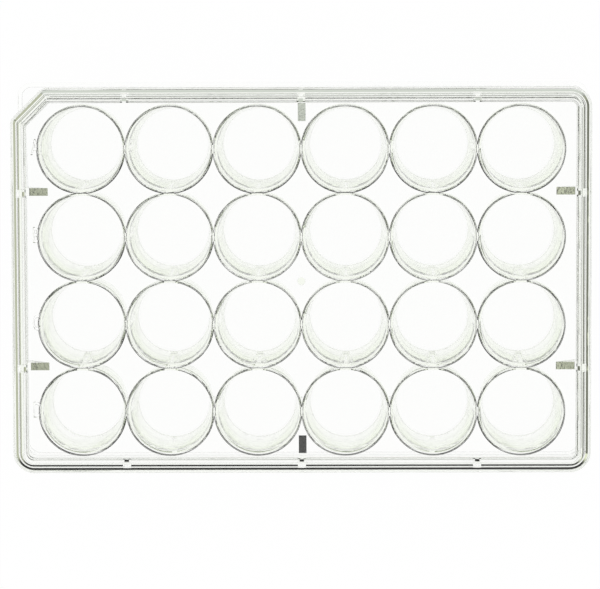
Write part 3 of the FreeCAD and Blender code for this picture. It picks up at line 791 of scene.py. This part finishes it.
def is_textured(face):
    """True on the gussets' sloped faces and on the bottom of the gate mark."""
    middle = face.center / MM
    beside_wall = (abs(middle.x) > HALF_LENGTH - CAVITY_INSET - GUSSET_REACH
                   or abs(middle.y) > HALF_WIDTH - CAVITY_INSET - GUSSET_REACH)
    on_gusset = (beside_wall and middle.z < DECK_UNDERSIDE and abs(face.normal.z + STEEP) < STEEP_SPREAD
                 and face.area > SMALLEST_SLOPE * MM ** 2)
    from_gate = middle - LID_MIDDLE - Vector((0, 0, GATE_BOTTOM))
    return on_gusset or (face.normal.z > LEVEL and from_gate.length < GATE)


for piece, node in ((plate, "plate"), (lid, "lid")):
    piece.data.materials.clear()
    piece.data.materials.append(clear_polystyrene)
    piece.data.materials.append(textured_polystyrene)
    textured = [face for face in piece.data.polygons if is_textured(face)]
    for face in textured:
        face.material_index = 1
    print(f"{node}: {len(textured)} faces with a texture")
    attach(piece, "root")
    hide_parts(node)

# %% [markdown]
# Clear plastic is best shown on a light table, where its edges draw themselves as dark lines. The table is a
# white sheet. It could be lit by a lamp below it. A sheet that glows is simpler. It glows for the camera and
# for rays that the plastic mirrors or bends, and is plain white for all other light, so that it takes
# shadows and adds no light of its own to anything else.

# %% Table: the sheet and the rays that see it glow
TABLE_SIZE = 3.0  # metres from the middle to a side
GLOW_SHARE = 0.985  # the rest is plain white and takes the plate's shadow

floor_mesh = bpy.data.meshes.new("floor")
bm = bmesh.new()
bmesh.ops.create_grid(bm, x_segments=1, y_segments=1, size=TABLE_SIZE)
bm.to_mesh(floor_mesh)
bm.free()
floor = bpy.data.objects.new("floor", floor_mesh)
bpy.context.collection.objects.link(floor)

white_table = bpy.data.materials.new("white_table")
floor_mesh.materials.append(white_table)
tree = empty_tree(white_table)
rays = add(tree, "ShaderNodeLightPath").outputs
bent = add(tree, "ShaderNodeMath", {"operation": "MAXIMUM"},
           {0: rays["Is Glossy Ray"], 1: rays["Is Transmission Ray"]})
seen = add(tree, "ShaderNodeMath", {"operation": "MAXIMUM"}, {0: bent, 1: rays["Is Camera Ray"]})
share = add(tree, "ShaderNodeMath", {"operation": "MULTIPLY", 1: GLOW_SHARE}, {0: seen})
plain = add(tree, "ShaderNodeMath", {"operation": "SUBTRACT", 0: 1.0}, {1: bent})
print("table nodes for the rays:", len(tree.nodes))

# %% [markdown]
# For the plastic, the lit part of the table ends a little outside the plate. The sloped faces mirror what
# lies beyond: each side of the room gives the gussets and edges of its side their tone. Cards laid round the
# plate could do it, as in a studio, but they would show in the render. So the glow itself is a sum of soft
# steps, each along one way over the table, from one level to another.

# %% Table: how bright each part glows
# Each zone is its way over the table, where it starts and ends in metres, and its level before and after.
TABLE_ZONES = {
    "lit_aside": ("aside", 0.075, 0.10, 1.0, 0.0),
    "lit_front": ("Y", -0.085, -0.070, 0.0, 1.0),
    "lit_back": ("Y", 0.062, 0.085, 1.0, 0.0),
    "left": ("X", -0.24, -0.16, 0.62, 0.0),
    "right": ("X", 0.16, 0.24, 0.0, 1.0),
    "far_right": ("X", 0.335, 0.355, 0.0, -0.8),
    "far_back": ("Y", 0.2, 0.35, 0.0, 0.4),
}
place = add(tree, "ShaderNodeTexCoord")
axes = add(tree, "ShaderNodeSeparateXYZ", links={"Vector": place.outputs["Object"]})
aside = add(tree, "ShaderNodeMath", {"operation": "ABSOLUTE"}, {0: axes.outputs["X"]})
ways = {"X": axes.outputs["X"], "Y": axes.outputs["Y"], "aside": aside.outputs[0]}
zone = {
    name: add(tree, "ShaderNodeMapRange", {
        "interpolation_type": "SMOOTHSTEP",
        "From Min": start, "From Max": end, "To Min": before, "To Max": after,
    }, {"Value": ways[way]})
    for name, (way, start, end, before, after) in TABLE_ZONES.items()
}
lit_across = add(tree, "ShaderNodeMath", {"operation": "MULTIPLY"},
                 {0: zone["lit_aside"], 1: zone["lit_front"]})
near = add(tree, "ShaderNodeMath", {"operation": "MULTIPLY"}, {0: lit_across, 1: zone["lit_back"]})
right = add(tree, "ShaderNodeMath", {"operation": "ADD"}, {0: zone["right"], 1: zone["far_right"]})
beside = add(tree, "ShaderNodeMath", {"operation": "ADD"}, {0: zone["left"], 1: right})
beyond = add(tree, "ShaderNodeMath", {"operation": "MAXIMUM"}, {0: beside, 1: zone["far_back"]})
reach = add(tree, "ShaderNodeMath", {"operation": "ADD"}, {0: near, 1: beyond})
mirrored = add(tree, "ShaderNodeMath", {"operation": "MULTIPLY"}, {0: bent, 1: reach})
strength = add(tree, "ShaderNodeMath", {"operation": "ADD"}, {0: mirrored, 1: plain})
print("zones of the table:", ", ".join(zone))

# %% [markdown]
# The lit part glows white, and what is mirrored from beyond it is a pale olive, as of a dim room. The camera
# itself sees white everywhere. Glow and plain white are then mixed by their share. A Mix node has sockets of
# the same name for each kind of value, so they are given by number: 6 and 7 are its two colours.

# %% Table: colour of the glow
BEYOND_TABLE = "#E0E6C8"

white_part = add(tree, "ShaderNodeMath", {"operation": "MAXIMUM"}, {0: near, 1: plain})
tint = add(tree, "ShaderNodeMix", {
    "data_type": "RGBA", 6: linear(BEYOND_TABLE), 7: WHITE,
}, {0: white_part})
lit = add(tree, "ShaderNodeBsdfDiffuse", {"Color": WHITE})
glow = add(tree, "ShaderNodeEmission", links={"Color": tint.outputs[2], "Strength": strength})
mixed = add(tree, "ShaderNodeMixShader", links={0: share, 1: lit, 2: glow})
add(tree, "ShaderNodeOutputMaterial", links={"Surface": mixed})
print("table nodes in all:", len(tree.nodes))

# %% [markdown]
# The studio is an even white for the camera and for all plain light. For rays that the plastic mirrors or
# bends, it is a white ceiling over dark walls, with a bright strip low down at the back, which gives the
# gusset and the edges at the back their tone. Lamps and walls could stand round the table. A few soft steps
# on the direction in the world do the same without any object. In a Mix node of plain numbers, sockets 2 and
# 3 are the two values.

# %% World
# Each step is its axis, where it starts and ends on a direction of length 1, and its level before and after.
STUDIO_STEPS = {
    "back": ("Y", 0.3, 0.9, 0.0, 0.8),
    "low": ("Z", 0.06, 0.14, 1.0, 0.02),
    "over": ("Z", 0.60, 0.95, 0.0, 1.0),
}
BACK_STRIP = "#E4EAE0"

world = bpy.data.worlds.new("studio")
bpy.context.scene.world = world
tree = empty_tree(world)
rays = add(tree, "ShaderNodeLightPath").outputs
direction = add(tree, "ShaderNodeTexCoord")
axes = add(tree, "ShaderNodeSeparateXYZ", links={"Vector": direction.outputs["Generated"]})
step = {
    name: add(tree, "ShaderNodeMapRange", {
        "interpolation_type": "SMOOTHSTEP",
        "From Min": start, "From Max": end, "To Min": before, "To Max": after,
    }, {"Value": axes.outputs[axis]})
    for name, (axis, start, end, before, after) in STUDIO_STEPS.items()
}
side = add(tree, "ShaderNodeMath", {"operation": "MULTIPLY"}, {0: step["back"], 1: step["low"]})
level = add(tree, "ShaderNodeMix", {"data_type": "FLOAT", 3: 1.0}, {0: step["over"], 2: side})
bent = add(tree, "ShaderNodeMath", {"operation": "MAXIMUM"},
           {0: rays["Is Glossy Ray"], 1: rays["Is Transmission Ray"]})
plain = add(tree, "ShaderNodeMath", {"operation": "SUBTRACT", 0: 1.0}, {1: bent})
strength = add(tree, "ShaderNodeMix", {"data_type": "FLOAT", 2: 1.0}, {0: bent, 3: level})
white_part = add(tree, "ShaderNodeMath", {"operation": "MAXIMUM"}, {0: step["over"], 1: plain})
colour = add(tree, "ShaderNodeMix", {
    "data_type": "RGBA", 6: linear(BACK_STRIP), 7: WHITE,
}, {0: white_part})
sky = add(tree, "ShaderNodeBackground", links={"Color": colour.outputs[2], "Strength": strength})
add(tree, "ShaderNodeOutputWorld", links={"Surface": sky})
print("studio steps:", ", ".join(step), "and", len(tree.nodes), "nodes")

# %% [markdown]
# The camera hangs 0.8 m over the lid, a little behind its middle, and looks almost straight down through a
# long lens. It could hang right over the middle, but from behind it sees the front walls of the wells from
# inside, and they tell how deep the wells are. Its height counts from the rings under the lid.

# %% Camera
LENS, SENSOR = 218.7, 36.0
CAMERA_X, CAMERA_Y, CAMERA_HEIGHT = 8.34, 73.06, 797.3
CAMERA_TURN = (-5.47, 0.63, -0.12)  # degrees about X, Y and Z
NEAREST, FARTHEST = 0.05, 10.0
ring_plane = PANEL_UNDERSIDE - RING_HEIGHT / 2

camera_data = bpy.data.cameras.new("camera")
camera_data.lens, camera_data.sensor_width = LENS, SENSOR
camera_data.clip_start, camera_data.clip_end = NEAREST, FARTHEST
camera = bpy.data.objects.new("camera", camera_data)
bpy.context.collection.objects.link(camera)
camera.location = Vector((CAMERA_X, CAMERA_Y, CAMERA_HEIGHT + ring_plane)) * MM
camera.rotation_mode = "ZYX"
camera.rotation_euler = [math.radians(turn) for turn in CAMERA_TURN]
scene = bpy.context.scene
scene.camera = camera
print("camera at", [round(value, 4) for value in camera.location], "m")

# %% [markdown]
# A ray can meet dozens of clear faces before it leaves the plate, and one that is stopped too early turns
# black. So the number of bounces is far above the default. The Standard view shows colours as written.

# %% Light paths and colours
BOUNCES = 64

scene.cycles.max_bounces = BOUNCES
scene.cycles.transmission_bounces = BOUNCES
scene.cycles.glossy_bounces = BOUNCES
scene.view_settings.view_transform = "Standard"
print("bounces:", scene.cycles.max_bounces)
